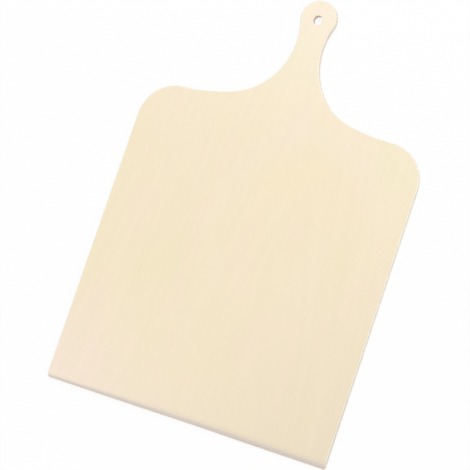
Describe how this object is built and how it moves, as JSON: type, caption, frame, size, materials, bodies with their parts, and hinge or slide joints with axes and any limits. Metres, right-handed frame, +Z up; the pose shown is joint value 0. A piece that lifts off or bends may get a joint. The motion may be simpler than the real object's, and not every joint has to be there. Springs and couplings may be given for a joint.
{
  "type": "pizza serving board",
  "caption": "Thin plywood board with a broad straight-edged blade, rounded shoulders and a short waisted handle with a hanging hole, for sliding, serving and cutting a pizza.",
  "frame": {"origin": "middle of the board's length and width, on the underside", "axes": "+Y towards the handle, +Z up out of the serving face, +X to the right as seen from the leading edge"},
  "size_m": [0.3, 0.43, 0.006],
  "materials": {
    "face_veneer": "sanded, unvarnished",
    "crossband": "sanded edge",
    "core_veneer": "sanded edge",
    "back_veneer": "sanded, unvarnished"
  },
  "bodies": {
    "root": {"face_veneer": "face_veneer", "upper_crossband": "crossband", "core_veneer": "core_veneer", "lower_crossband": "crossband", "back_veneer": "back_veneer"}
  },
  "joints": []
}
